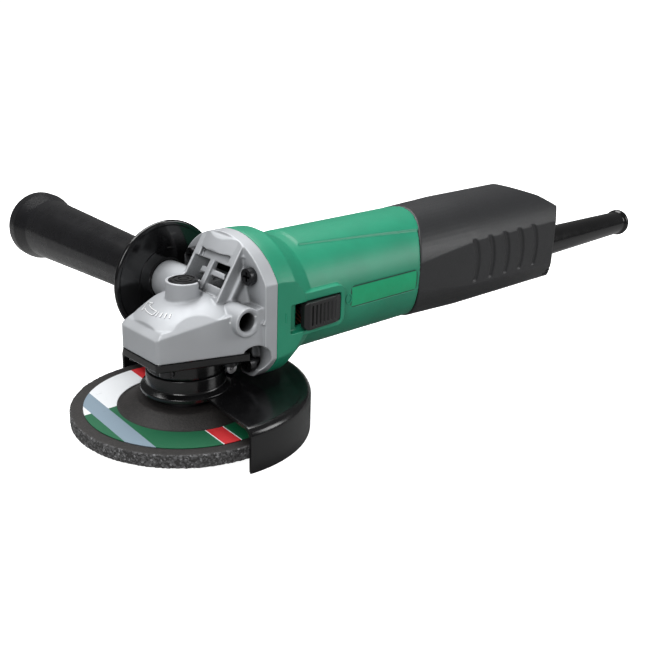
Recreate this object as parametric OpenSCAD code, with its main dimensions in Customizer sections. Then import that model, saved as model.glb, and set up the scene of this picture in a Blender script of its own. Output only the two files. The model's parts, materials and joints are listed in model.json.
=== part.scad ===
// Small angle grinder: gear head, motor housing, tail cover, depressed-centre wheel, guard and side handle.
// Millimetres. +X runs along the motor axis to the tail, +Y to the side handle, +Z up.
// Origin: on the spindle axis, at the outer face of the clamp nut.

/* [Overall] */
// Height of the motor axis above the outer face of the clamp nut
axis_height = 45; // [42:0.5:50]
// Length from the front of the gear cover to the back of the tail cover
body_length = 266; // [250:1:310]
// Outer diameter of the motor barrel
barrel_d = 54; // [53:0.5:60]
// Half width and half height of the tail cover
tail_r = 28.6; // [28:0.2:32]

/* [Wheel and spindle] */
// Outer diameter of the grinding wheel
wheel_d = 100; // [80:1:104]
// Thickness of the grinding wheel
wheel_t = 6; // [3:0.5:6.5]
// Bore of the grinding wheel
wheel_bore = 16; // [16:0.5:20]
// Thread diameter of the spindle
spindle_d = 10; // [8:0.5:11]
// Outer diameter of the inner flange
flange_d = 30; // [26:1:32]
// Outer diameter of the clamp nut
nut_d = 28; // [26:1:32]
// Distance between the two pin spanner holes
pin_spacing = 20; // [18:0.5:22]

/* [Guard] */
// Gap between the wheel edge and the inside of the guard skirt
guard_gap = 3; // [2:0.5:6]
// Sheet thickness of the guard
guard_t = 1.5; // [1:0.1:2]
// Height of the guard skirt
guard_h = 19.5; // [16:0.5:21]
// Half of the angle that the guard covers
guard_half = 93; // [80:1:100]

/* [Gear head] */
// Number of teeth on the ring gear
ring_teeth = 32; // [30:1:34]
// Number of teeth on the pinion
pinion_teeth = 12; // [11:1:13]
// Pitch radius of the ring gear
ring_r = 15; // [14.5:0.1:15.3]
// Travel of the spindle lock button
lock_travel = 3.2; // [2:0.1:3.4]
// Diameter of the spindle lock button
button_d = 12.4; // [10:0.1:12.8]

/* [Switch] */
// Travel of the switch knob from off to on
switch_travel = 6; // [3:0.5:6.5]
// Length of the switch knob
knob_l = 22; // [18:0.5:22.5]

/* [Side handle] */
// Thread diameter of the side handle holes
handle_thread_d = 8; // [6:0.5:10]
// Length of the side handle grip
grip_length = 125; // [90:1:140]
// Diameter of the grip next to the hand shield
grip_d = 25.4; // [22:0.2:28]
// Diameter of the hand shield
shield_d = 54; // [40:1:70]

/* [Motor] */
// Outer diameter of the stator core
stator_d = 46.8; // [44:0.2:47.2]
// Outer diameter of the armature core
armature_d = 26; // [22:0.2:27]
// Outer diameter of the commutator
commutator_d = 20; // [16:0.5:22]
// Play between parts that move past each other
gap = 0.3; // [0.3:0.05:0.5]
// Radial play of a running fit
run_fit = 0.04; // [0.02:0.01:0.08]

/* [Hidden] */
$fn = 96;
e = 0.01;
part_colors = [[0.78, 0.79, 0.8], [0.1, 0.1, 0.1], [0.2, 0.62, 0.48], [0.25, 0.26, 0.27], [0.6, 0.6, 0.62]];

// Gear cover
cover_front = -23;
cover_half = 13.6;
cover_flare = 0.33;
cover_top = 0.5;
cover_rise = 0.165;
cover_bottom = -12.4;
flange_x0 = 20.5;
flange_x1 = 27;
flange_w = 58.5;
flange_low = 26.75;
flange_corner = 12;
bell_r = 33.6;
bevel_h = 2.4;
dome_r = 39;
dome_x = 5;
dome_top = 10.5;
barrel_r = barrel_d / 2;
wall = 2.4;
bore_r = barrel_r - wall;
tail_x1 = cover_front + body_length;
seam_r = 36;
seam_x = 117.5;
barrel_z = 1;
bell_x1 = 36.5;
panel_x0 = 52.5;
screw_y = 20;
screw_up = 19;
screw_low = -20;

// Tower and lock
tower_half = 15.6;
tower_top = 32.8;
lock_x = 0;
boss_r = 7.75;
boss_top = 15;
button_r = button_d / 2;
button_top = 16.8;
pocket_floor = 8.4;
button_floor = 13;
pin_r = 3;
blade_t = 2;
spindle_top = 5;
slot_w = 2.6;
tower_round = 24;
rib_half = 1.4;
window_out = 12.8;
wing_r = 13;
wing_back = 3;
arch_x = 17.6;
arch_z = -16;
arch_r = 6.6;
arch_depth = 20.6;
slot_depth = lock_travel - 0.1;
pin_tip = spindle_top + 0.6;

// Handle
handle_x = 13;
handle_z = 6;
blind_z = 2;
boss_far = 31.5;
boss_near = -27.3;
thread_r = handle_thread_d / 2;
stud_r = thread_r - 0.05;
hole_depth = 13;
shield_t = 2;
shield_y = boss_far;
grip_y0 = shield_y + shield_t;
grip_r0 = grip_d / 2;
grip_r1 = grip_r0 + 2.8;
knob_r = grip_r1 + 2.2;
shield_r = shield_d / 2;

// Spindle stack, measured down from the motor axis
nut_face = -axis_height;
nut_h = 3.7;
hub_rise = 4.3;
hub_bottom = nut_face + nut_h;
hub_top = hub_bottom + wheel_t;
rim_top = hub_top - hub_rise;
rim_bottom = rim_top - wheel_t;
wheel_r = wheel_d / 2;
wheel_bore_r = wheel_bore / 2;
flange_r = flange_d / 2;
flange_t = 4;
flange_top = hub_top + flange_t;
thread_major = spindle_d / 2;
thread_core = thread_major - 0.1;
journal_r = 5;
collar_r = 6.5;
sb_outer = 13;
sb_h = 8;
sb_z0 = -24;
chamber_r = ring_r + 1.3;
lower_plate = -16;
ring_r2 = 16.8;
neck_top = -22.6;
neck_r = 15.6;
neck_bottom = flange_top + 1.3;
spigot_r = 4;
bush_r = 6;
bush_top = 5.4;

// Bevel gears
gear_ratio = ring_teeth / pinion_teeth;
pinion_r = ring_r / gear_ratio;
cone_len = sqrt(ring_r * ring_r + pinion_r * pinion_r);
cone_angle = atan(pinion_r / ring_r);
face_w = 3.4;
addendum = 0.55;
dedendum = 1;
ring_tooth = 1;
pinion_tooth = 0.9;

// Guard
skirt_r = wheel_r + guard_gap;
guard_r = skirt_r + guard_t;
guard_top = -30.5;
guard_bottom = guard_top - guard_h;
bend_r = 3;
guard_collar_r = neck_r + run_fit;
collar_out = neck_r + 1.6;
guard_turned = -4;
clamp_x = collar_out + 3;
clamp_z = guard_top + 3.6;
ear_x1 = collar_out + 6;
clamp_half_l = 6.4;
guard_swing = sqrt(ear_x1 * ear_x1 + clamp_half_l * clamp_half_l) + gap;
web_x0 = ring_r2 + 0.4;

// Motor
shaft_r = 4;
fb_outer = 11;
fb_x0 = 20;
fb_w = 7;
rb_outer = 9.5;
rb_bore = 3.5;
rb_x0 = 114;
rb_w = 6;
rubber_r = 11.2;
stack_x0 = 52;
stack_x1 = 88;
stator_r = stator_d / 2;
stator_flat = 21.6;
armature_r = armature_d / 2;
air_gap = 0.5;
comm_x0 = 98;
comm_x1 = 110;
comm_r = commutator_d / 2;
fan_r = 22;
fan_x0 = 31;
fan_x1 = 39;
guide_edge = 20;
brush_x = (comm_x0 + comm_x1) / 2;
brush_w = 6;
brush_t = 5;
brush_l = 9;
brush_play = 0.06;

// Switch
knob_z = -1.1;
knob_h = 12.4;
knob_back = 63.5;
knob_front = knob_back - knob_l;
knob_top = -barrel_r - 4.2;
knob_floor = -barrel_r - 0.4;
pad_top = -barrel_r - 1.8;
recess_floor = -barrel_r + 0.5;
pivot_x = knob_back - 13.5;
pivot_y = -barrel_r + 1.8;
pivot_r = 1.2;
knuckle_r = 1.9;
lug_half = 2.9;
cheek_half = 4.9;
bar_y0 = -barrel_r + 3.5;
bar_y1 = bar_y0 + 1.4;
bar_half = 3.5;
bar_x1 = 138;

// Tail
tail_wall = 2.2;
cord_z = -10;
cord_r = 3.8;
sleeve_r0 = 8.5;
sleeve_r1 = 7;
sleeve_x1 = tail_x1 + 95;
unit_top = 10;
unit_bottom = -9;
clamp_x0 = tail_x1 - 38;
clamp_x1 = tail_x1 - 28;
clamp_half = 8;
end_screw_y = 9.5;
end_screw_z = 6;

// ---------- helpers ----------
module lift() {
    translate([0, 0, axis_height]) children();
}

module rod_x(x0, x1, r) {
    translate([x0, 0, 0]) rotate([0, 90, 0]) cylinder(h = x1 - x0, r = r);
}

module cone_x(x0, x1, r0, r1) {
    translate([x0, 0, 0]) rotate([0, 90, 0]) cylinder(h = x1 - x0, r1 = r0, r2 = r1);
}

module rod_y(y0, y1, r) {
    translate([0, y0, 0]) rotate([-90, 0, 0]) cylinder(h = y1 - y0, r = r);
}

module rod_z(z0, z1, r) {
    translate([0, 0, z0]) cylinder(h = z1 - z0, r = r);
}

module tube_x(x0, x1, ro, ri) {
    difference() {
        rod_x(x0, x1, ro);
        rod_x(x0 - 1, x1 + 1, ri);
    }
}

module tube_z(z0, z1, ro, ri) {
    difference() {
        rod_z(z0, z1, ro);
        rod_z(z0 - 1, z1 + 1, ri);
    }
}

// A (y, z) outline drawn out along X
module slab_x(x0, x1) {
    translate([x0, 0, 0]) rotate([90, 0, 90]) linear_extrude(x1 - x0) children();
}

// An (x, z) outline drawn out along Y
module slab_y(y0, y1) {
    translate([0, y1, 0]) rotate([90, 0, 0]) linear_extrude(y1 - y0) children();
}

// An (x, y) outline drawn out along Z
module slab_z(z0, z1) {
    translate([0, 0, z0]) linear_extrude(z1 - z0) children();
}

module box(x0, x1, y0, y1, z0, z1) {
    translate([x0, y0, z0]) cube([x1 - x0, y1 - y0, z1 - z0]);
}

module rounded_rect(w, h, r) {
    square([w, h - 2 * r], center = true);
    square([w - 2 * r, h], center = true);
    for (sx = [-1, 1], sy = [-1, 1]) {
        translate([sx * (w / 2 - r), sy * (h / 2 - r)]) circle(r);
    }
}

// Ball bearing rings, standing on z = 0
function ball_r(ri, ro) = 0.28 * (ro - ri);
function ball_pitch(ri, ro) = (ri + ro) / 2;

module bearing_ring(r0, r1, ri, ro, w) {
    rotate_extrude() difference() {
        translate([r0, 0]) square([r1 - r0, w]);
        translate([ball_pitch(ri, ro), w / 2]) circle(ball_r(ri, ro) + run_fit, $fn = 48);
    }
}

module bearing_outer(ri, ro, w) {
    bearing_ring(ball_pitch(ri, ro) + 0.55 * ball_r(ri, ro), ro, ri, ro, w);
}

module bearing_inner(ri, ro, w) {
    bearing_ring(ri, ball_pitch(ri, ro) - 0.55 * ball_r(ri, ro), ri, ro, w);
}

// Balls joined by a thin cage
module bearing_balls(ri, ro, w, count) {
    rc = ball_pitch(ri, ro);
    cage_half = 0.3 * ball_r(ri, ro);
    for (i = [0 : count - 1]) {
        rotate([0, 0, i * 360 / count]) translate([rc, 0, w / 2]) sphere(ball_r(ri, ro), $fn = 32);
    }
    translate([0, 0, w / 2 - cage_half]) difference() {
        cylinder(h = 2 * cage_half, r = rc + cage_half);
        translate([0, 0, -1]) cylinder(h = 2 * cage_half + 2, r = rc - cage_half);
    }
}

// Compression spring with closed ends, standing on z = 0
module coil_spring(r, wire, length, turns) {
    steps = turns * 16;
    sides = 8;
    rise = length - 2 * wire;
    points = [
        for (i = [0 : steps], k = [0 : sides - 1])
            let (a = i * 360 / 16, b = k * 360 / sides, q = r + wire * cos(b))
            [q * cos(a), q * sin(a), wire + rise * i / steps + wire * sin(b)]
    ];
    skin = [
        for (i = [0 : steps - 1], k = [0 : sides - 1])
            let (n = (k + 1) % sides)
            [i * sides + k, i * sides + n, (i + 1) * sides + n, (i + 1) * sides + k]
    ];
    start = [[for (k = [sides - 1 : -1 : 0]) k]];
    end = [[for (k = [0 : sides - 1]) steps * sides + k]];
    polyhedron(points, [for (f = concat(skin, start, end)) [for (j = [len(f) - 1 : -1 : 0]) f[j]]]);
}

// ---------- gear head ----------
function half_width(x) = cover_half + cover_flare * (x - cover_front);
function top_z(x) = cover_top + cover_rise * (x - cover_front - 3.2);

module cover_plan(x1) {
    polygon([
        [cover_front, -cover_half + 1],
        [cover_front + 1, -half_width(cover_front + 1)],
        [x1, -half_width(x1)],
        [x1, half_width(x1)],
        [cover_front + 1, half_width(cover_front + 1)],
        [cover_front, cover_half - 1]
    ]);
}

module cover_side() {
    polygon([
        [cover_front, cover_bottom],
        [flange_x1, cover_bottom],
        [flange_x1, top_z(flange_x1)],
        [cover_front + 3.2, cover_top],
        [cover_front, cover_top - 2.8]
    ]);
}

// Bevel along the flared top edge, on one side, fading out towards the flange
module edge_bevel(side) {
    translate([cover_front, side * cover_half, cover_top - bevel_h])
        rotate([0, -atan(cover_rise) - 3, side * atan(cover_flare)])
            rotate([side * 45, 0, 0])
                translate([-10, side > 0 ? 0 : -30, -5]) cube([70, 30, 40]);
}

module cover_wedge() {
    difference() {
        union() {
            intersection() {
                slab_z(cover_bottom, top_z(flange_x1) + 1) cover_plan(flange_x0 + 1);
                slab_y(-40, 40) cover_side();
            }
            // crown of the top face
            intersection() {
                translate([dome_x, 0, dome_top - dome_r]) sphere(dome_r, $fn = 128);
                slab_z(cover_bottom + 1, 20) cover_plan(flange_x0 + 1);
                box(cover_front + 3.2, flange_x0 + 1, -40, 40, -20, 20);
            }
        }
        edge_bevel(1);
        edge_bevel(-1);
    }
}

module flange_outline() {
    intersection() {
        circle(bell_r);
        translate([0, (bell_r - flange_low) / 2]) rounded_rect(flange_w, bell_r + flange_low, flange_corner);
    }
}

slope_x = 6.3;
slope_z = 8.5;
slope_run = 0.628;
tower_slope = atan(1 / slope_run);

// Line of the sloping front face at a height
function slope_at(z) = slope_x + slope_run * (z - slope_z);

module tower_side() {
    polygon([
        [5, 0], [slope_x, slope_z], [slope_at(31), 31], [flange_x1, tower_top], [flange_x1, 0]
    ]);
}

// Upright cylinder laid back along the front face, with its foremost line at a distance before the face
module slope_rod(ahead, r) {
    translate([slope_x, 0, slope_z]) rotate([0, 90 - tower_slope, 0]) translate([r - ahead, 0, -30])
        cylinder(h = 80, r = r);
}

module tower() {
    intersection() {
        slab_y(-tower_half, tower_half) tower_side();
        slope_rod(0, tower_round);
        slab_x(0, flange_x1) intersection() {
            translate([0, 10]) rounded_rect(2 * tower_half, 2 * (tower_top - 10), 5);
            circle(bell_r - 0.4);
        }
    }
    // cap over the windows
    intersection() {
        slab_y(-tower_half, tower_half)
            polygon([
                [15, 25.8], [14.8, 27.6], [16.2, 30.4], [19.4, 32.2], [flange_x1, bell_r], [flange_x1, 20], [20, 25.8]
            ]);
        slope_rod(2.4, tower_round + 2);
        slab_x(0, flange_x1) circle(bell_r - 0.4);
    }
}

// An opening through the sloping face: y from y0 to y1, along the slope from s0 to s1
module slope_cut(y0, y1, s0, s1, depth) {
    translate([slope_x, 0, slope_z]) rotate([0, -tower_slope, 0])
        translate([s0, y0, -depth]) cube([s1 - s0, y1 - y0, depth + 6]);
}

// The two columns of windows, each crossed by curved bars that lie behind the frame
module tower_openings() {
    difference() {
        for (side = [-1, 1]) {
            slope_cut(side > 0 ? rib_half : -window_out, side > 0 ? window_out : -rib_half, 2.2, 16.2, 12);
        }
        translate([slope_x, 0, slope_z]) rotate([0, -tower_slope, 0]) intersection() {
            union() {
                box(10.2, 12.8, -20, 20, -12, 0);
                box(0, 6.4, -20, 20, -12, 0);
            }
            difference() {
                translate([0, 0, -tower_round]) rod_x(-1, 20, tower_round - 1.5);
                translate([0, 0, -tower_round]) rod_x(-2, 21, tower_round - 4.4);
            }
        }
    }
}

// Fillet that sweeps from the side of the tower to the flange, with a pocket for the screw head
module tower_wing(side) {
    difference() {
        intersection() {
            box(4, flange_x1, side > 0 ? 10 : -30, side > 0 ? 30 : -10, 0, 32);
            slab_y(-30, 30) tower_side();
            slab_x(0, flange_x1) flange_outline();
        }
        translate([slope_x + wing_back, side * (tower_half + wing_r - 1.5), slope_z])
            rotate([0, 90 - tower_slope, 0]) translate([0, 0, -30]) cylinder(h = 80, r = wing_r);
        translate([0, side * screw_y, screw_up]) {
            rod_x(0, flange_x0, 4.6);
            rotate([45, 0, 0]) box(0, flange_x0, 0, 4.6, 0, 4.6);
        }
    }
}

// Raised rim round the front of the lock button
module lock_rim() {
    difference() {
        rod_z(boss_top - 1, boss_top + 1.4, boss_r);
        box(2.6, 20, -20, 20, boss_top, boss_top + 3);
    }
}

// Recess under the near handle hole
module near_arch() {
    translate([arch_x, 0, arch_z]) rod_y(-40, -arch_depth, arch_r);
}

module air_chamber() {
    intersection() {
        slab_y(-window_out, window_out)
            polygon([[14, 13.4], [flange_x1 + 1, 13.4], [flange_x1 + 1, 28], [20.5, 28], [18, 23]]);
        slab_x(0, flange_x1 + 1) intersection() {
            translate([0, 10]) rounded_rect(2 * window_out, 38, 4);
            circle(bell_r - 3);
        }
    }
}

module gear_cover() {
    color(part_colors[0]) lift() difference() {
        union() {
            cover_wedge();
            slab_x(flange_x0, flange_x1) flange_outline();
            tower();
            translate([lock_x, 0, 0]) rod_z(-2, boss_top, boss_r);
            lock_rim();
            for (side = [-1, 1]) {
                tower_wing(side);
            }
            translate([handle_x, 0, handle_z]) rod_y(12, boss_far, 9);
            translate([handle_x, 0, blind_z]) rod_y(boss_near, -15, 6.3);
            // lower web behind the wheel guard
            intersection() {
                slab_x(web_x0, flange_x1) translate([0, -14]) rounded_rect(30, 22, 6);
                box(web_x0, flange_x1, -20, 20, -24, 0);
            }
        }
        air_chamber();
        tower_openings();
        rod_z(guard_bottom, neck_top, guard_swing);
        near_arch();
        rod_z(cover_bottom - 1, -1.4, chamber_r);
        rod_z(-2, bush_top, bush_r);
        rod_z(0, pocket_floor + 1, pin_r + run_fit);
        rod_z(pocket_floor, boss_top + 3, button_r + 0.25);
        rod_x(7, fb_x0 + 0.5, 7.2);
        rod_x(fb_x0, flange_x1 + 1, fb_outer);
        translate([handle_x, boss_far - hole_depth, handle_z]) rod_y(0, hole_depth + 1, thread_r);
        translate([handle_x, boss_far - 1, handle_z]) rotate([-90, 0, 0])
            cylinder(h = 1 + e, r1 = thread_r, r2 = thread_r + 1);
        translate([handle_x, boss_near, blind_z]) rod_y(-1, hole_depth - 3, thread_r);
        translate([handle_x, boss_near - e, blind_z]) rotate([-90, 0, 0])
            cylinder(h = 1, r1 = thread_r + 1, r2 = thread_r);
        for (sy = [-1, 1]) {
            translate([0, sy * screw_y, screw_up]) rod_x(flange_x0 - 6, flange_x1 + 1, 2.1);
            translate([0, sy * screw_y, screw_low]) rod_x(flange_x0 - 6, flange_x1 + 1, 2.1);
            translate([-17, sy * 11.5, 0]) rod_z(cover_bottom - 1, cover_bottom + 7, 2);
            translate([10, sy * 18.2, 0]) rod_z(cover_bottom - 1, cover_bottom + 7, 2);
        }
    }
}

module pan_screw_x(head_r, shank_r, length) {
    difference() {
        union() {
            rod_x(-3, 0, head_r);
            rod_x(-e, length, shank_r);
        }
        for (a = [0, 90]) {
            rotate([a, 0, 0]) box(-4, -1.4, -head_r * 0.6, head_r * 0.6, -0.5, 0.5);
        }
    }
}

module gear_cover_screws() {
    color(part_colors[1]) lift() {
        for (sy = [-1, 1]) {
            translate([flange_x0, sy * screw_y, screw_up]) pan_screw_x(3.6, 2.1, 18);
            translate([flange_x0, sy * screw_y, screw_low]) pan_screw_x(3.6, 2.1, 18);
        }
    }
}

module needle_bush() {
    color(part_colors[4]) lift() tube_z(0, bush_top, bush_r, spigot_r + run_fit);
}

module lock_spring() {
    color(part_colors[4]) lift() translate([lock_x, 0, pocket_floor])
        coil_spring(4.6, 0.35, button_floor - pocket_floor, 3);
}

module lock_button() {
    color(part_colors[1]) lift() translate([lock_x, 0, 0]) {
        rotate_extrude() difference() {
            polygon([
                [0, button_floor], [button_r, button_floor], [button_r, button_top - 1], [button_r - 0.8, button_top],
                [0, button_top]
            ]);
            translate([button_r - 2.4, button_top - 0.4]) square([0.9, 1]);
            translate([button_r - 4.4, button_top - 0.4]) square([0.7, 1]);
        }
    }
}

module lock_pin() {
    color(part_colors[4]) lift() translate([lock_x, 0, 0]) {
        rod_z(pin_tip + 3.2, button_floor, pin_r);
        intersection() {
            rod_z(pin_tip, pin_tip + 3.3, pin_r);
            box(-pin_r, pin_r, -blade_t / 2, blade_t / 2, pin_tip, pin_tip + 3.3);
        }
    }
}

module bearing_retainer() {
    color(part_colors[1]) lift() difference() {
        union() {
            slab_z(lower_plate, cover_bottom) cover_plan(15);
            rod_z(neck_top, lower_plate + 1, ring_r2);
            rod_z(neck_bottom, neck_top + 1, neck_r);
        }
        rod_z(sb_z0, cover_bottom + 1, sb_outer);
        rod_z(neck_bottom - 1, sb_z0 + 1, 10.5);
        for (sy = [-1, 1]) {
            translate([-17, sy * 11.5, 0]) rod_z(lower_plate - 8, cover_bottom + 1, 2);
            translate([10, sy * 18.2, 0]) rod_z(lower_plate - 8, cover_bottom + 1, 2);
        }
    }
}

module retainer_screw() {
    difference() {
        union() {
            rod_z(-2.8, 0, 3.2);
            rod_z(-e, 10, 2);
        }
        for (a = [0, 90]) {
            rotate([0, 0, a]) box(-2, 2, -0.45, 0.45, -4, -1.4);
        }
    }
}

module retainer_screws() {
    color(part_colors[4]) lift() {
        for (sy = [-1, 1]) {
            translate([-17, sy * 11.5, lower_plate]) retainer_screw();
            translate([10, sy * 18.2, lower_plate]) retainer_screw();
        }
    }
}

module dust_seal() {
    color(part_colors[1]) lift() tube_z(sb_z0 - 3, sb_z0, 10.5, collar_r + 0.05);
}

module spindle_bearing_outer() {
    color(part_colors[4]) lift() translate([0, 0, sb_z0]) bearing_outer(journal_r, sb_outer, sb_h);
}

module spindle_bearing_balls() {
    color(part_colors[4]) lift() translate([0, 0, sb_z0]) bearing_balls(journal_r, sb_outer, sb_h, 8);
}

module spindle_bearing_inner() {
    color(part_colors[4]) lift() translate([0, 0, sb_z0]) bearing_inner(journal_r, sb_outer, sb_h);
}

module spindle() {
    color(part_colors[4]) lift() difference() {
        union() {
            rod_z(nut_face + 1, flange_top + e, thread_core);
            rod_z(flange_top, sb_z0, collar_r);
            rod_z(sb_z0 - e, -1, journal_r);
            rod_z(-1 - e, spindle_top, spigot_r);
        }
        for (a = [0, 90]) {
            rotate([0, 0, a]) box(-5, 5, -slot_w / 2, slot_w / 2, spindle_top - slot_depth, spindle_top + 1);
        }
    }
}

// One straight tooth along the pitch cone line, drawn in the (x, z) plane
module cone_tooth(width, up, down) {
    translate([cone_len - face_w, -width / 2, -down]) cube([face_w, width, up + down]);
}

module ring_gear() {
    root_out = [ring_r - dedendum * sin(cone_angle), -pinion_r - dedendum * cos(cone_angle)];
    inner = (cone_len - face_w) / cone_len;
    root_in = [ring_r * inner - dedendum * sin(cone_angle), -pinion_r * inner - dedendum * cos(cone_angle)];
    color(part_colors[4]) lift() {
        rotate_extrude() polygon([
            [journal_r, cover_bottom + 0.6], [8.5, cover_bottom + 0.6], [8.5, -10], [ring_r, -9.2], root_out, root_in,
            [root_in[0] - 0.6, root_in[1] - 0.8], [8, root_in[1] - 0.8], [journal_r, root_in[1] - 0.8]
        ]);
        for (i = [0 : ring_teeth - 1]) {
            rotate([0, 0, i * 360 / ring_teeth]) rotate([0, cone_angle, 0])
                cone_tooth(ring_tooth, addendum, dedendum + 0.2);
        }
    }
}

module pinion() {
    inner = (cone_len - face_w) / cone_len;
    r_out = pinion_r - dedendum;
    r_in = pinion_r * inner - dedendum;
    color(part_colors[4]) lift() difference() {
        union() {
            cone_x(ring_r * inner, ring_r, r_in, r_out);
            rod_x(ring_r - e, fb_x0, r_out);
            for (i = [0 : pinion_teeth - 1]) {
                rotate([(i + 0.5) * 360 / pinion_teeth, 0, 0]) rotate([0, cone_angle, 0])
                    cone_tooth(pinion_tooth, dedendum + 0.3, addendum);
            }
        }
        rod_x(0, fb_x0 + 1, 2.5);
    }
}

module pinion_nut() {
    inner = (cone_len - face_w) / cone_len;
    color(part_colors[4]) lift() difference() {
        translate([ring_r * inner - 3.2, 0, 0]) rotate([0, 90, 0]) cylinder(h = 3.2, r = 3.5, $fn = 6);
        rod_x(0, fb_x0, 2.5);
    }
}

module inner_flange() {
    color(part_colors[1]) lift() rotate_extrude() polygon([
        [thread_major, hub_top - wheel_t * 0.7], [wheel_bore_r - run_fit, hub_top - wheel_t * 0.7],
        [wheel_bore_r - run_fit, hub_top + 0.6], [flange_r - 4, hub_top + 0.6], [flange_r - 4, hub_top],
        [flange_r, hub_top], [flange_r, flange_top - 1.4], [flange_r - 3, flange_top], [thread_major, flange_top]
    ]);
}

module grinding_wheel() {
    color([0.16, 0.13, 0.12]) lift() rotate_extrude() polygon([
        [wheel_bore_r, hub_bottom], [wheel_r * 0.41, hub_bottom], [wheel_r * 0.56, rim_bottom],
        [wheel_r - 0.6, rim_bottom], [wheel_r, rim_bottom + 0.6], [wheel_r, rim_top - 0.6], [wheel_r - 0.6, rim_top],
        [wheel_r * 0.575, rim_top], [wheel_r * 0.435, hub_top], [wheel_bore_r, hub_top]
    ]);
}

module wheel_label() {
    color([0.1, 0.4, 0.28]) lift() tube_z(rim_top, rim_top + 0.25, wheel_r * 0.885, wheel_r * 0.6);
}

module clamp_nut() {
    color(part_colors[1]) lift() difference() {
        rotate_extrude() polygon([
            [thread_major, nut_face], [nut_d / 2 - 1, nut_face], [nut_d / 2, nut_face + 1], [nut_d / 2, hub_bottom],
            [thread_major, hub_bottom]
        ]);
        for (s = [-1, 1]) {
            translate([s * pin_spacing / 2, 0, 0]) rod_z(nut_face - 1, hub_bottom + 1, 2.1);
        }
    }
}

// ---------- guard ----------
module guard_profile() {
    translate([collar_out - 0.5, guard_top - guard_t]) square([guard_r - bend_r - collar_out + 0.5, guard_t]);
    translate([skirt_r, guard_bottom]) square([guard_t, guard_h - bend_r]);
    intersection() {
        translate([guard_r - bend_r, guard_top - bend_r]) difference() {
            circle(bend_r, $fn = 48);
            circle(bend_r - guard_t, $fn = 48);
        }
        translate([guard_r - bend_r, guard_top - bend_r]) square([bend_r, bend_r]);
    }
}

module wheel_guard() {
    color(part_colors[1]) lift() {
        rotate([0, 0, guard_turned - guard_half]) rotate_extrude(angle = 2 * guard_half) guard_profile();
        difference() {
            union() {
                rotate_extrude() polygon([
                    [guard_collar_r, guard_top - guard_t + 0.2], [collar_out + 2.5, guard_top - guard_t + 0.2],
                    [collar_out + 2.5, guard_top + 0.3], [collar_out, guard_top + 1.6], [collar_out, neck_top - 0.3],
                    [guard_collar_r, neck_top - 0.3]
                ]);
                box(guard_collar_r + 0.5, ear_x1, -4, -1, guard_top - 0.5, neck_top - 1);
                box(guard_collar_r + 0.5, ear_x1, 1, 4, guard_top - 0.5, neck_top - 1);
            }
            box(neck_r - 1, collar_out + 7, -1, 1, guard_top, neck_top + 1);
            translate([clamp_x, 0, clamp_z]) rod_y(-6, 6, 1.5);
        }
    }
}

module guard_clamp_screw() {
    color(part_colors[4]) lift() translate([clamp_x, 0, clamp_z]) difference() {
        union() {
            rod_y(-clamp_half_l, -4, 2.7);
            rod_y(-4 - e, 6.2, 1.5);
            rotate([-90, 0, 0]) translate([0, 0, 4]) cylinder(h = 2, r = 2.6, $fn = 6);
        }
        rotate([90, 0, 0]) translate([0, 0, 5]) cylinder(h = 2, r = 1.3, $fn = 6);
    }
}

// ---------- motor housing ----------
module seam_cut() {
    translate([seam_x + seam_r, 0, 0]) rod_y(-60, 60, seam_r);
    box(seam_x + seam_r, tail_x1 + 50, -60, 60, -60, 60);
}

module housing_front() {
    intersection() {
        slab_x(flange_x1, 62) flange_outline();
        union() {
            cone_x(flange_x1, bell_x1, bell_r + 0.2, bell_r - 0.4);
            cone_x(bell_x1 - e, 49, bell_r - 0.4, barrel_r);
        }
    }
}

module housing_skin() {
    difference() {
        union() {
            housing_front();
            translate([0, 0, barrel_z]) rod_x(45, seam_x + 18, barrel_r);
            // flat panel along the top
            intersection() {
                translate([0, 0, barrel_z]) rod_x(panel_x0, seam_x + 18, barrel_r + 0.7);
                slab_z(10, 40) polygon([
                    [panel_x0, -12.4], [seam_x + 18, -18.6], [seam_x + 18, 18.6], [panel_x0, 12.4]
                ]);
            }
            // switch pad
            intersection() {
                slab_y(pad_top, -15) translate([(29 + knob_back + 3) / 2, knob_z + 0.6]) rounded_rect(knob_back - 26, 19, 4);
                box(29, knob_back + 4, -40, -15, -20, 20);
            }
        }
        seam_cut();
    }
}

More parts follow.
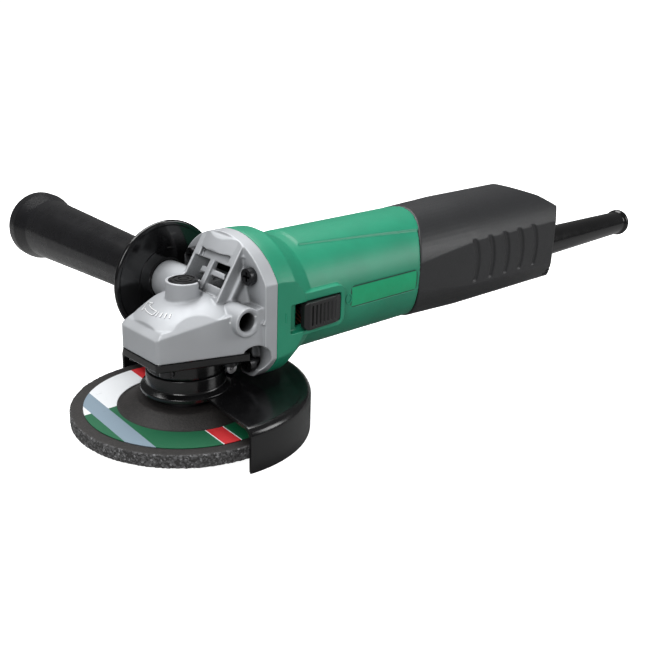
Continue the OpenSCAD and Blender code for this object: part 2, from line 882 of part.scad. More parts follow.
module motor_housing() {
    color(part_colors[2]) lift() difference() {
        union() {
            difference() {
                housing_skin();
                rod_x(flange_x1 - 1, stack_x0 - 4, bore_r);
                translate([0, 0, barrel_z]) rod_x(stack_x0 - 5, tail_x1, bore_r);
            }
            // ribs that hold the stator
            intersection() {
                translate([0, 0, barrel_z]) rod_x(stack_x0, stack_x1, bore_r + 0.4);
                difference() {
                    for (a = [45, 135, 225, 315]) {
                        rotate([a, 0, 0]) box(stack_x0, stack_x1, -2, 2, stator_r - 3, bore_r + 2);
                    }
                    rod_x(stack_x0 - 1, stack_x1 + 1, stator_r);
                }
            }
            // carrier of the rear bearing
            tube_x(rb_x0 - 1.5, rb_x0 + rb_w, rubber_r + 2, rubber_r);
            tube_x(rb_x0 - 2.5, rb_x0 - 0.5, rubber_r + 2, 6);
            intersection() {
                translate([0, 0, barrel_z]) rod_x(rb_x0 - 2.5, rb_x0 + 2, bore_r + 0.4);
                difference() {
                    for (a = [0, 180, 270]) {
                        rotate([a, 0, 0]) box(rb_x0 - 2.5, rb_x0 + 2, -2.5, 2.5, rubber_r + 1, bore_r + 2);
                    }
                    rod_x(rb_x0 - 4, rb_x0 + 4, rubber_r + 0.5);
                }
            }
            // screw bosses behind the flange
            for (sy = [-1, 1], sz = [screw_up, screw_low]) {
                intersection() {
                    translate([0, sy * screw_y, sz]) rod_x(flange_x1, fan_x1 + 1 - gap, 4.6);
                    housing_front();
                }
            }
        }
        // switch recess and slot
        box(knob_front - switch_travel - 0.9, knob_back + 0.6, -60, recess_floor, knob_z - knob_h / 2 - gap,
            knob_z + knob_h / 2 + gap);
        box(pivot_x - switch_travel - 4.6, pivot_x + 4.6, -60, -bore_r + 4, knob_z - cheek_half - gap,
            knob_z + cheek_half + gap);
        for (sy = [-1, 1], sz = [screw_up, screw_low]) {
            translate([0, sy * screw_y, sz]) rod_x(flange_x1 - 1, fan_x1, 2.1);
        }
        // pocket of the nameplate
        nameplate_shape(0.5, 0);
    }
}

module nameplate_shape(depth, play) {
    intersection() {
        translate([0, 0, barrel_z]) tube_x(70, seam_x + 5, barrel_r + 1, barrel_r - depth);
        slab_y(-barrel_r - 2, -barrel_r + 8)
            translate([94, 0.6]) rounded_rect(44 - 2 * play, 10.4 - 2 * play, 2.4);
    }
}

module nameplate() {
    color([0.1, 0.6, 0.4]) lift() intersection() {
        nameplate_shape(0.5, 0);
        translate([0, 0, barrel_z]) rod_x(60, seam_x + 9, barrel_r - 0.15);
    }
}

module fan_guide() {
    color(part_colors[1]) lift() difference() {
        intersection() {
            rod_x(fan_x1 + 1, fan_x1 + 3, bore_r);
            box(fan_x1, fan_x1 + 4, -guide_edge, bore_r, -30, 30);
        }
        rod_x(fan_x1, fan_x1 + 4, 16);
    }
}

module stator_outline() {
    intersection() {
        circle(stator_r);
        square([2 * stator_flat, 2 * stator_r], center = true);
    }
}

module stator_core() {
    color(part_colors[4]) lift() difference() {
        slab_x(stack_x0, stack_x1) stator_outline();
        rod_x(stack_x0 - 1, stack_x1 + 1, armature_r + air_gap);
        for (sy = [-1, 1]) {
            box(stack_x0 - 1, stack_x1 + 1, sy > 0 ? armature_r - 4 : -18, sy > 0 ? 18 : 4 - armature_r, -9, 9);
        }
    }
}

module stator_coils() {
    color([0.72, 0.4, 0.2]) lift() for (sy = [-1, 1]) {
        difference() {
            box(stack_x0 - 6, stack_x1 + 6, sy > 0 ? armature_r + 1.2 : -18, sy > 0 ? 18 : -armature_r - 1.2, -9, 9);
            box(stack_x0, stack_x1, sy > 0 ? 12 : -19, sy > 0 ? 19 : -12, -3, 3);
        }
    }
}

// ---------- armature ----------
module on_motor(x0) {
    translate([x0, 0, 0]) rotate([0, 90, 0]) children();
}

module front_bearing_outer() {
    color(part_colors[4]) lift() on_motor(fb_x0) bearing_outer(shaft_r, fb_outer, fb_w);
}

module front_bearing_balls() {
    color(part_colors[4]) lift() on_motor(fb_x0) bearing_balls(shaft_r, fb_outer, fb_w, 7);
}

module front_bearing_inner() {
    color(part_colors[4]) lift() on_motor(fb_x0) bearing_inner(shaft_r, fb_outer, fb_w);
}

module rear_bearing_outer() {
    color(part_colors[4]) lift() on_motor(rb_x0) bearing_outer(rb_bore, rb_outer, rb_w);
}

module rear_bearing_balls() {
    color(part_colors[4]) lift() on_motor(rb_x0) bearing_balls(rb_bore, rb_outer, rb_w, 7);
}

module rear_bearing_inner() {
    color(part_colors[4]) lift() on_motor(rb_x0) bearing_inner(rb_bore, rb_outer, rb_w);
}

module rear_bearing_bush() {
    color(part_colors[1]) lift() tube_x(rb_x0 - 0.5, rb_x0 + rb_w, rubber_r, rb_outer);
}

module armature_shaft() {
    inner = (cone_len - face_w) / cone_len;
    color(part_colors[4]) lift() {
        rod_x(ring_r * inner - 3.2, fb_x0 + e, 2.5);
        rod_x(fb_x0, rb_x0, shaft_r);
        rod_x(rb_x0 - e, rb_x0 + rb_w, rb_bore);
    }
}

module armature_core() {
    slots = 12;
    color(part_colors[4]) lift() difference() {
        tube_x(stack_x0, stack_x1, armature_r, shaft_r);
        for (i = [0 : slots - 1]) {
            rotate([i * 360 / slots, 0, 0]) {
                box(stack_x0 - 1, stack_x1 + 1, -0.7, 0.7, armature_r - 3, armature_r + 1);
                translate([0, 0, armature_r - 3.6]) rod_x(stack_x0 - 1, stack_x1 + 1, 1.9);
            }
        }
    }
}

module armature_windings() {
    color([0.72, 0.4, 0.2]) lift() {
        for (x = [[stack_x0 - 5, stack_x0], [stack_x1, stack_x1 + 5]]) {
            tube_x(x[0], x[1], armature_r - 1.2, shaft_r);
        }
    }
}

module commutator() {
    bars = 24;
    color([0.75, 0.45, 0.25]) lift() difference() {
        union() {
            tube_x(comm_x0, comm_x1, comm_r, shaft_r);
            tube_x(stack_x1 + 5, comm_x0 + e, comm_r - 3, shaft_r);
        }
        for (i = [0 : bars - 1]) {
            rotate([i * 360 / bars, 0, 0]) box(comm_x0 - 1, comm_x1 + 1, -0.2, 0.2, comm_r - 0.8, comm_r + 1);
        }
    }
}

module fan() {
    blades = 11;
    color(part_colors[1]) lift() difference() {
        union() {
            tube_x(fan_x0, fan_x1, 8, shaft_r);
            tube_x(fan_x0, fan_x0 + 1.6, fan_r, shaft_r);
            for (i = [0 : blades - 1]) {
                rotate([i * 360 / blades, 0, 0]) box(fan_x0, fan_x1 - 0.4, -0.7, 0.7, 6, fan_r - 0.6);
            }
        }
    }
}

module brush_holders() {
    color([0.75, 0.62, 0.3]) lift() intersection() {
        for (s = [0, 180]) {
            rotate([s, 0, 0]) difference() {
                box(brush_x - brush_w / 2 - 1.2, brush_x + brush_w / 2 + 1.2, -brush_t / 2 - 1.2, brush_t / 2 + 1.2,
                    comm_r + 1.4, bore_r + 3);
                box(brush_x - brush_w / 2 - brush_play, brush_x + brush_w / 2 + brush_play,
                    -brush_t / 2 - brush_play, brush_t / 2 + brush_play, comm_r, holder_top(s));
            }
        }
        translate([0, 0, barrel_z]) rod_x(comm_x0 - 5, comm_x1 + 5, bore_r);
    }
}

function holder_top(s) = s == 0 ? bore_r + barrel_z - 1.2 : bore_r - barrel_z - 1.2;

module carbon_brush(s) {
    color([0.12, 0.12, 0.12]) lift() rotate([s, 0, 0]) difference() {
        box(brush_x - brush_w / 2, brush_x + brush_w / 2, -brush_t / 2, brush_t / 2, comm_r - 0.5, comm_r + brush_l);
        rod_x(comm_x0, comm_x1, comm_r + run_fit);
    }
}

module carbon_brush_upper() {
    carbon_brush(0);
}

module carbon_brush_lower() {
    carbon_brush(180);
}

module brush_spring(s) {
    color(part_colors[4]) lift() rotate([s, 0, 0])
        translate([brush_x, 0, comm_r + brush_l])
            coil_spring(1.7, 0.3, holder_top(s) - comm_r - brush_l, 3);
}

module brush_spring_upper() {
    brush_spring(0);
}

module brush_spring_lower() {
    brush_spring(180);
}

// ---------- switch ----------
module switch_knob() {
    ribs = 7;
    color(part_colors[1]) lift() {
        difference() {
            intersection() {
                slab_y(knob_top, knob_floor) translate([knob_front + knob_l / 2, knob_z]) rounded_rect(knob_l, knob_h, 2);
                slab_z(knob_z - knob_h, knob_z + knob_h) polygon([
                    [knob_front, knob_floor], [knob_front, knob_top + 1.4], [knob_front + 2, knob_top],
                    [knob_back - 4, knob_top + 0.8], [knob_back, knob_top + 2.2], [knob_back, knob_floor]
                ]);
            }
            for (i = [0 : ribs - 1]) {
                box(knob_front + 3.4 + i * 2.3, knob_front + 4.3 + i * 2.3, knob_top - 1, knob_top + 1,
                    knob_z - knob_h / 2 + 1.6, knob_z + knob_h / 2 - 1.6);
            }
        }
        for (s = [-1, 1]) {
            box(pivot_x - 2.4, pivot_x + 2.4, knob_floor - 1, pivot_y + 0.9,
                s > 0 ? knob_z + lug_half + gap : knob_z - cheek_half,
                s > 0 ? knob_z + cheek_half : knob_z - lug_half - gap);
        }
        translate([pivot_x, pivot_y, 0]) rod_z(knob_z - cheek_half + 0.1, knob_z + cheek_half - 0.1, pivot_r);
    }
}

module switch_link() {
    color(part_colors[3]) lift() difference() {
        union() {
            box(pivot_x - 4.4, bar_x1, bar_y0, bar_y1, barrel_z - bar_half, barrel_z + bar_half);
            box(pivot_x - knuckle_r, pivot_x + knuckle_r, pivot_y, bar_y1, knob_z - lug_half, knob_z + lug_half);
            translate([pivot_x, pivot_y, 0]) rod_z(knob_z - lug_half, knob_z + lug_half, knuckle_r);
            box(bar_x1 - 2, bar_x1, bar_y0, bar_y0 + 6, barrel_z - 2.5, barrel_z + 2.5);
        }
        translate([pivot_x, pivot_y, 0]) rod_z(-20, 20, pivot_r + run_fit);
    }
}

module switch_spring() {
    color(part_colors[4]) lift() translate([bar_x1 - 2, bar_y0 + 3.9, barrel_z]) rotate([0, -90, 0])
        coil_spring(1.8, 0.3, bar_x1 - 2 - rb_x0 - 12, 4);
}

module switch_unit() {
    color(part_colors[1]) lift() {
        box(bar_x1 + gap, bar_x1 + 26, bar_y0 + 1.2, -2, unit_bottom, unit_top);
        box(bar_x1 + gap, bar_x1 + 26, bar_y0 + 4, 4, unit_bottom, unit_bottom + 3);
        // bracket that takes the return spring
        box(rb_x0 + 10, rb_x0 + 12, bar_y1 + gap, bar_y0 + 8.4, barrel_z - 3, barrel_z + 3);
        box(rb_x0 + 10, bar_x1 + 2, bar_y0 + 6.6, bar_y0 + 8.4, barrel_z - 3, barrel_z + 3);
    }
}

// ---------- tail ----------
module tail_section(inset) {
    r = tail_r - inset;
    intersection() {
        circle(r + 0.4);
        polygon([
            [-0.47 * r, r + 0.3], [0.47 * r, r + 0.3], [0.93 * r, 0.62 * r], [0.93 * r, -0.6 * r],
            [0.5 * r, -r - 0.4],
            [-0.5 * r, -r - 0.4], [-0.93 * r, -0.6 * r], [-0.93 * r, 0.62 * r]
        ]);
    }
}

module tail_plan(inset) {
    polygon([
        [seam_x - 5, -40], [tail_x1 - 16, -40], [tail_x1 - 16, -tail_r * 0.93 + inset], [tail_x1 - inset, -14 + inset],
        [tail_x1 - inset, 14 - inset], [tail_x1 - 16, tail_r * 0.93 - inset], [tail_x1 - 16, 40], [seam_x - 5, 40]
    ]);
}

module tail_profile(inset) {
    polygon([
        [seam_x - 5, -40], [tail_x1 - 8, -40], [tail_x1 - 8, -29 + inset], [tail_x1 - inset, -24 + inset],
        [tail_x1 - inset, 11 - inset], [tail_x1 - 8 - inset, 18 - inset], [tail_x1 - 20 - inset, 25.5 - inset],
        [tail_x1 - 34, 30.5 - inset], [tail_x1 - 34, 40], [seam_x - 5, 40]
    ]);
}

module tail_solid(inset) {
    intersection() {
        translate([0, 0, barrel_z]) slab_x(seam_x - 5, tail_x1 + 1) tail_section(inset);
        slab_z(-45, 45) tail_plan(inset);
        // the front end narrows to meet the barrel
        translate([0, 0, barrel_z])
            cone_x(seam_x - 6, tail_x1 + 2, barrel_r + 0.2 - inset, tail_r + 3.4 - inset);
        slab_y(-45, 45) tail_profile(inset);
    }
}

module finger_grooves() {
    for (side = [-1, 1], i = [0 : 4]) {
        translate([160 + i * 12.2, side * (tail_r * 0.93 + 0.2), 0]) difference() {
            translate([-22, -0.9, 0]) rod_y(0, 1.8, 25.5);
            translate([-22, -2, 0]) rod_y(0, 4, 22.6);
            box(-60, 60, -5, 5, 13.6, 60);
            box(-60, 60, -5, 5, -60, -9);
            box(-60, -15, -5, 5, -60, 60);
        }
    }
}

module inlet_slots() {
    for (side = [-1, 1], i = [0 : 7]) {
        translate([tail_x1 - 8, side * 20.5, 2.6 - i * 3.5]) rotate([0, 0, side * -51])
            rotate([side * 24, 0, 0]) box(-6, 6, -5, 5, -0.75, 0.75);
    }
}

// Posts for the switch, the cord clamp and the end screws
module tail_posts() {
    intersection() {
        tail_solid(tail_wall / 2);
        union() {
            box(bar_x1 + 2, bar_x1 + 24, -14, -6, -40, unit_bottom);
            box(clamp_x0, clamp_x1, -12, 12, -40, cord_z - clamp_half);
            for (s = [-1, 1]) {
                translate([0, s * end_screw_y, end_screw_z]) rod_x(tail_x1 - 22, tail_x1, 3.6);
            }
        }
    }
}

module tail_cover() {
    color(part_colors[3]) lift() difference() {
        union() {
            difference() {
                intersection() {
                    tail_solid(0);
                    seam_cut();
                }
                tail_solid(tail_wall);
            }
            tail_posts();
        }
        finger_grooves();
        inlet_slots();
        for (i = [0 : 4], side = [-1, 1]) {
            box(170 + i * 12, 176 + i * 12, side * 10 - 0.6, side * 10 + 0.6, -40, -20);
        }
        translate([0, 0, cord_z]) rod_x(tail_x1 - 8, tail_x1 + 5, sleeve_r0 - 1);
        for (sy = [-1, 1]) {
            translate([0, sy * end_screw_y, end_screw_z]) rod_x(tail_x1 - 18, tail_x1 + 5, 1.6);
            translate([0, sy * end_screw_y, end_screw_z]) rod_x(tail_x1 - 3.2, tail_x1 + 5, 3.2);
        }
    }
}

module tail_cover_screws() {
    color(part_colors[4]) lift() for (sy = [-1, 1]) {
        translate([tail_x1 - 3.2, sy * end_screw_y, end_screw_z]) rotate([0, 0, 180]) pan_screw_x(2.9, 1.6, 14);
    }
}

module capacitor() {
    color([0.7, 0.6, 0.2]) lift() box(bar_x1 + 4, bar_x1 + 22, -17, -4, unit_top, unit_top + 9.5);
}

module leads() {
    color([0.15, 0.15, 0.4]) lift() {
        for (y = [-9, -5]) {
            translate([0, y, -5]) rod_x(bar_x1 + 26, clamp_x0, 1.1);
        }
    }
}

module cord_clamp() {
    color(part_colors[1]) lift() difference() {
        box(clamp_x0, clamp_x1, -12, 12, cord_z - clamp_half, cord_z + clamp_half);
        translate([0, 0, cord_z]) rod_x(clamp_x0 - 5, clamp_x1 + 5, cord_r);
        for (s = [-1, 1]) {
            translate([clamp_x0 + 5, s * clamp_half, cord_z]) rod_z(-10, 10, 1.6);
        }
    }
}

module cord_clamp_screws() {
    color(part_colors[4]) lift() for (s = [-1, 1]) {
        translate([clamp_x0 + 5, s * clamp_half, cord_z + clamp_half]) {
            rod_z(-12, e, 1.6);
            rod_z(0, 2, 2.8);
        }
    }
}

module cord_guard() {
    color(part_colors[1]) lift() translate([0, 0, cord_z]) difference() {
        union() {
            rod_x(tail_x1 - 6, tail_x1 - 2.2, sleeve_r0 + 1.6);
            rod_x(tail_x1 - 3, tail_x1 + e, sleeve_r0 - 1);
            cone_x(tail_x1, sleeve_x1 - 3, sleeve_r0, sleeve_r1);
            rotate([0, 90, 0]) rotate_extrude() translate([0, sleeve_x1 - 4]) polygon([
                [0, 0], [sleeve_r1, 0], [sleeve_r1 + 1, 1.4], [sleeve_r1 + 1, 3], [sleeve_r1 + 0.2, 4], [0, 4]
            ]);
        }
        rod_x(tail_x1 - 10, sleeve_x1 + 1, cord_r);
    }
}

// ---------- side handle ----------
module hand_shield() {
    color(part_colors[1]) lift() translate([handle_x, shield_y, handle_z]) rotate([-90, 0, 0])
        rotate_extrude() polygon([
            [thread_r + 0.3, 0], [shield_r - 1.2, 0], [shield_r, 0.4], [shield_r + 0.2, 1.2], [shield_r - 0.4, 2.4],
            [shield_r - 1.6, 2.4], [shield_r - 2, shield_t], [thread_r + 0.3, shield_t]
        ]);
}

module handle_grip() {
    color(part_colors[1]) lift() translate([handle_x, grip_y0, handle_z]) rotate([-90, 0, 0]) difference() {
        rotate_extrude() polygon([
            [0, 0], [grip_r0 - 1, 0], [grip_r0, 1], [grip_r0 + 0.4, grip_length * 0.3],
            [grip_r1, grip_length - 22], [grip_r1 + 0.2, grip_length - 15], [knob_r - 0.6, grip_length - 11],
            [knob_r, grip_length - 8], [knob_r - 0.2, grip_length - 3.4], [knob_r - 1.6, grip_length - 0.8],
            [knob_r - 3.4, grip_length], [0, grip_length]
        ]);
        translate([0, 0, -1]) cylinder(h = 30, r = stud_r);
    }
}

module handle_stud() {
    color(part_colors[4]) lift() translate([handle_x, 0, handle_z])
        rod_y(boss_far - hole_depth + 1, grip_y0 + 29, stud_r);
}

gear_cover();
gear_cover_screws();
needle_bush();
lock_spring();
lock_button();
lock_pin();
bearing_retainer();
retainer_screws();
dust_seal();
spindle_bearing_outer();
spindle_bearing_balls();
spindle();
ring_gear();
spindle_bearing_inner();
inner_flange();
grinding_wheel();
wheel_label();
clamp_nut();
wheel_guard();
guard_clamp_screw();
motor_housing();
nameplate();
fan_guide();
stator_core();
stator_coils();
front_bearing_outer();
front_bearing_balls();
rear_bearing_outer();
rear_bearing_balls();
rear_bearing_bush();
armature_shaft();
armature_core();
armature_windings();
commutator();
fan();
pinion();
pinion_nut();
front_bearing_inner();
rear_bearing_inner();
brush_holders();
carbon_brush_upper();
carbon_brush_lower();
brush_spring_upper();
brush_spring_lower();
switch_knob();
switch_link();
switch_spring();
switch_unit();
tail_cover();
tail_cover_screws();
capacitor();
leads();
cord_clamp();
cord_clamp_screws();
cord_guard();
hand_shield();
handle_grip();
handle_stud();
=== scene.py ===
import json
import math

import bmesh
import bpy
from mathutils import Matrix, Vector, noise


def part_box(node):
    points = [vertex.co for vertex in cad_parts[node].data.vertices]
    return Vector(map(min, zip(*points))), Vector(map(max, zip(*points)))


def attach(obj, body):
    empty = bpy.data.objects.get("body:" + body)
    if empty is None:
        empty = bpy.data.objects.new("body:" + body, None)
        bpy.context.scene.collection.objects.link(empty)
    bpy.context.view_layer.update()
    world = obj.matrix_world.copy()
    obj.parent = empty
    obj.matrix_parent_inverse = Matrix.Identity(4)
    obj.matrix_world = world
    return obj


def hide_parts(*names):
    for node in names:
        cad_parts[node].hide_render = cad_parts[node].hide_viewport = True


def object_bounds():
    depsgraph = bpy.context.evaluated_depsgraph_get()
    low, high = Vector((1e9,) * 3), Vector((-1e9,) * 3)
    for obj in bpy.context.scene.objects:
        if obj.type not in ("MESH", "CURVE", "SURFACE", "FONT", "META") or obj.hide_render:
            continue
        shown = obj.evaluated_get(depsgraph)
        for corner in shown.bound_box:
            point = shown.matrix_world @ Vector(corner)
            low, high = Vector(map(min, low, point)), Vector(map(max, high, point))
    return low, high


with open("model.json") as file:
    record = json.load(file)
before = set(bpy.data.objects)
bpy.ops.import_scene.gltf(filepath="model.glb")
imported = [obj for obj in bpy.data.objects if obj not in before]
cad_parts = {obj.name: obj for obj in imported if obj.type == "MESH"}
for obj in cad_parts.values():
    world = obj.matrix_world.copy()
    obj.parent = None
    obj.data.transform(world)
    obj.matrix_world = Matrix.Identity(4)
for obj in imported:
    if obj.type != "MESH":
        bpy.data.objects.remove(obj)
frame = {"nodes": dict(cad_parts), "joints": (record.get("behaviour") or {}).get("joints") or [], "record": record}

# ---------- places, from the frame ----------
MM = 0.001
CAD_BOX = [list(corner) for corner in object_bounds()]
nodes = frame["nodes"]
joints = {joint["name"]: joint for joint in frame["joints"]}

MOTOR_Z = joints["armature_spin"]["pos_m"][2]
HANDLE_AXIS = Vector(joints["handle_turn"]["pos_m"])


# ---------- mesh helpers ----------
def rounded(corners, steps=6):
    """A closed outline of (r, h) points in mm. Each corner is (r, h, radius of its rounding)."""
    outline = []
    count = len(corners)
    for i, (r, h, radius) in enumerate(corners):
        corner = Vector((r, h))
        before = Vector(corners[i - 1][:2]) - corner
        after = Vector(corners[(i + 1) % count][:2]) - corner
        if radius <= 0:
            outline.append(corner)
            continue
        half = before.angle(after) / 2
        reach = min(radius / math.tan(half), 0.49 * before.length, 0.49 * after.length)
        start = corner + before.normalized() * reach
        end = corner + after.normalized() * reach
        radius = reach * math.tan(half)
        inward = (before.normalized() + after.normalized()).normalized()
        centre = corner + inward * (radius / math.sin(half))
        first = start - centre
        sweep = first.angle_signed(end - centre)
        for k in range(steps + 1):
            turn = Matrix.Rotation(-sweep * k / steps, 2)
            outline.append(centre + turn @ first)
    return [(point.x, point.y) for point in outline]


def resampled(outline, spacing):
    """The same closed outline with no side longer than spacing."""
    points = []
    for i, (r, h) in enumerate(outline):
        next_r, next_h = outline[(i + 1) % len(outline)]
        parts = max(1, math.ceil(math.hypot(next_r - r, next_h - h) / spacing))
        if r < 1e-6 and next_r < 1e-6:
            parts = 1
        for k in range(parts):
            points.append((r + (next_r - r) * k / parts, h + (next_h - h) * k / parts))
    return points


def finished(name, bm, body, slot, sharp_deg=40):
    """Turns a bmesh into a piece that rides on a body, with its slot's material."""
    bmesh.ops.recalc_face_normals(bm, faces=bm.faces)
    mesh = bpy.data.meshes.new(name)
    bm.to_mesh(mesh)
    bm.free()
    for face in mesh.polygons:
        face.use_smooth = True
    mesh.set_sharp_from_angle(angle=math.radians(sharp_deg))
    piece = bpy.data.objects.new(name, mesh)
    bpy.context.scene.collection.objects.link(piece)
    piece.data.materials.append(looks[slot])
    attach(piece, body)
    return piece


def turned_point(axis, centre, r, h, angle):
    """A point in metres at radius r and height h along an axis, both in mm."""
    c, s = r * math.cos(angle), r * math.sin(angle)
    local = {"x": (h, c, s), "y": (c, h, s), "z": (c, s, h)}[axis]
    return Vector(centre) + Vector(local) * MM


def lathe_mesh(outline, axis, centre, steps, start=0.0, sweep=360.0, radius_at=None):
    """A bmesh turned from a closed outline. Points on the axis become single vertices.

    radius_at(r, h, angle) may change a point's radius.
    """
    bm = bmesh.new()
    full = sweep >= 360
    columns = steps if full else steps + 1
    rings = []
    for r, h in outline:
        if r < 1e-6:
            rings.append([bm.verts.new(turned_point(axis, centre, 0, h, 0))])
            continue
        ring = []
        for k in range(columns):
            angle = math.radians(start + sweep * k / steps)
            reach = r if radius_at is None else radius_at(r, h, angle)
            ring.append(bm.verts.new(turned_point(axis, centre, reach, h, angle)))
        rings.append(ring)
    for i, ring in enumerate(rings):
        other = rings[(i + 1) % len(rings)]
        if len(ring) == 1 and len(other) == 1:
            continue
        for k in range(steps):
            n = (k + 1) % columns
            if len(ring) == 1:
                bm.faces.new((ring[0], other[n], other[k]))
            elif len(other) == 1:
                bm.faces.new((ring[k], ring[n], other[0]))
            else:
                bm.faces.new((ring[k], ring[n], other[n], other[k]))
    if not full:
        bm.faces.new([ring[0] for ring in rings])
        bm.faces.new([ring[-1] for ring in reversed(rings)])
    return bm


def block(bm, low, high, round_mm):
    """Adds a rounded block to a bmesh. Its two corners are in metres."""
    made = bmesh.ops.create_cube(bm, size=1)
    size = Vector(high) - Vector(low)
    middle = (Vector(high) + Vector(low)) / 2
    bmesh.ops.scale(bm, vec=size, verts=made["verts"])
    bmesh.ops.translate(bm, vec=middle, verts=made["verts"])
    edges = list(dict.fromkeys(edge for vert in made["verts"] for edge in vert.link_edges))
    offset = round_mm * MM
    bmesh.ops.bevel(bm, geom=edges, offset=offset, segments=4, profile=0.5, affect="EDGES")


# ---------- material helpers ----------
class Graph:
    """A material's nodes, with short calls to add and join them."""

    def __init__(self, name):
        self.material = bpy.data.materials.new(name)
        self.material.use_nodes = True
        self.tree = self.material.node_tree
        self.shader = self.tree.nodes["Principled BSDF"]
        self.place = self.add("ShaderNodeTexCoord").outputs["Object"]

    def add(self, kind, **settings):
        node = self.tree.nodes.new(kind)
        for key, value in settings.items():
            setattr(node, key, value)
        return node

    def link(self, out, into):
        self.tree.links.new(out, into)

    def put(self, socket, value):
        """A socket takes a number, a colour of three channels, or another node's output."""
        if isinstance(value, bpy.types.NodeSocket):
            self.link(value, socket)
        elif isinstance(value, tuple):
            socket.default_value = (*value, 1)
        else:
            socket.default_value = value

    def axes(self):
        """The x, y and z of the point that is shaded, in metres."""
        split = self.add("ShaderNodeSeparateXYZ")
        self.link(self.place, split.inputs[0])
        return split.outputs

    def math(self, operation, a, b=0.0):
        node = self.add("ShaderNodeMath", operation=operation)
        self.put(node.inputs[0], a)
        self.put(node.inputs[1], b)
        return node.outputs[0]

    def noise(self, size_mm, detail=3.0, roughness=0.55, stretch=None):
        """Fractal noise with grains of about size_mm, from 0 to 1."""
        node = self.add("ShaderNodeTexNoise")
        node.inputs["Scale"].default_value = 1 / (size_mm * MM)
        node.inputs["Detail"].default_value = detail
        node.inputs["Roughness"].default_value = roughness
        place = self.place
        if stretch:
            mapping = self.add("ShaderNodeMapping")
            mapping.inputs["Scale"].default_value = stretch
            self.link(place, mapping.inputs["Vector"])
            place = mapping.outputs["Vector"]
        self.link(place, node.inputs["Vector"])
        return node.outputs["Fac"]

    def cloud(self, size_mm, detail=3.0):
        """Soft patches of about size_mm, from 0 to 1."""
        return self.span(self.noise(size_mm, detail), 0.35, 0.65, 0, 1)

    def cells(self, size_mm, output="Distance"):
        """Grains of about size_mm: the distance from their middles, or a colour for each."""
        node = self.add("ShaderNodeTexVoronoi")
        node.inputs["Scale"].default_value = 1 / (size_mm * MM)
        self.link(self.place, node.inputs["Vector"])
        return node.outputs[output]

    def span(self, value, low, high, to_low, to_high):
        """Maps a value's range onto another one, clamped."""
        node = self.add("ShaderNodeMapRange")
        self.link(value, node.inputs["Value"])
        node.inputs["From Min"].default_value = low
        node.inputs["From Max"].default_value = high
        node.inputs["To Min"].default_value = to_low
        node.inputs["To Max"].default_value = to_high
        return node.outputs["Result"]

    def mix(self, factor, a, b):
        """Colour a where factor is 0 and colour b where it is 1."""
        node = self.add("ShaderNodeMix", data_type="RGBA")
        self.put(node.inputs[0], factor)
        self.put(node.inputs[6], a)
        self.put(node.inputs[7], b)
        return node.outputs[2]

    def bump(self, height, depth_mm, strength=1.0, below=None):
        node = self.add("ShaderNodeBump")
        node.inputs["Strength"].default_value = strength
        node.inputs["Distance"].default_value = depth_mm * MM
        self.link(height, node.inputs["Height"])
        if below is not None:
            self.link(below, node.inputs["Normal"])
        return node.outputs["Normal"]

    def edges(self):
        """1 on outer edges, 0 elsewhere: where a surface is lightened as worn and by a painted highlight."""
        pointiness = self.add("ShaderNodeNewGeometry").outputs["Pointiness"]
        return self.span(pointiness, 0.52, 0.6, 0, 1)

    def hollows(self):
        """1 in inner corners, 0 elsewhere."""
        pointiness = self.add("ShaderNodeNewGeometry").outputs["Pointiness"]
        return self.span(pointiness, 0.44, 0.49, 1, 0)

    def openness(self, reach_mm, low, high):
        """0 deep in a slot or bore, 1 on an open face."""
        node = self.add("ShaderNodeAmbientOcclusion", samples=6)
        node.inputs["Distance"].default_value = reach_mm * MM
        return self.span(node.outputs["AO"], low, high, 0, 1)

    def done(self, color, roughness, normal=None, metallic=0.0):
        """Fills the shader's sockets and returns the material."""
        self.put(self.shader.inputs["Base Color"], color)
        self.put(self.shader.inputs["Roughness"], roughness)
        self.put(self.shader.inputs["Metallic"], metallic)
        if normal is not None:
            self.link(normal, self.shader.inputs["Normal"])
        return self.material


def shaded(color, factor):
    """A colour made lighter or darker by a factor."""
    return tuple(channel * factor for channel in color)


# ---------- materials ----------
def cast_aluminium():
    """Matte die-cast metal. Its edges are lightened where worn and by a painted highlight,
    and painted shade darkens its inner corners and turns it black deep in its slots.
    """
    g = Graph("cast_aluminium")
    color = (0.43, 0.445, 0.465)
    tone = g.mix(g.cloud(14, 4), shaded(color, 0.93), color)
    # Edges lightened: partly worn metal, partly a painted highlight on the chamfers.
    tone = g.mix(g.edges(), tone, (0.8, 0.81, 0.82))
    # Painted shade: inner corners darkened.
    tone = g.mix(g.math("MULTIPLY", g.hollows(), 0.35), tone, (0.25, 0.25, 0.26))
    # Painted shade: near black deep in slots, windows and bores, from ambient occlusion.
    tone = g.mix(g.openness(12, 0.28, 0.68), (0.006, 0.006, 0.006), tone)
    grain = g.noise(0.55, 4, 0.6)
    rough = g.span(g.noise(3.5, 3), 0.3, 0.7, 0.5, 0.6)
    return g.done(tone, rough, g.bump(grain, 0.05, 0.7), metallic=0.35)


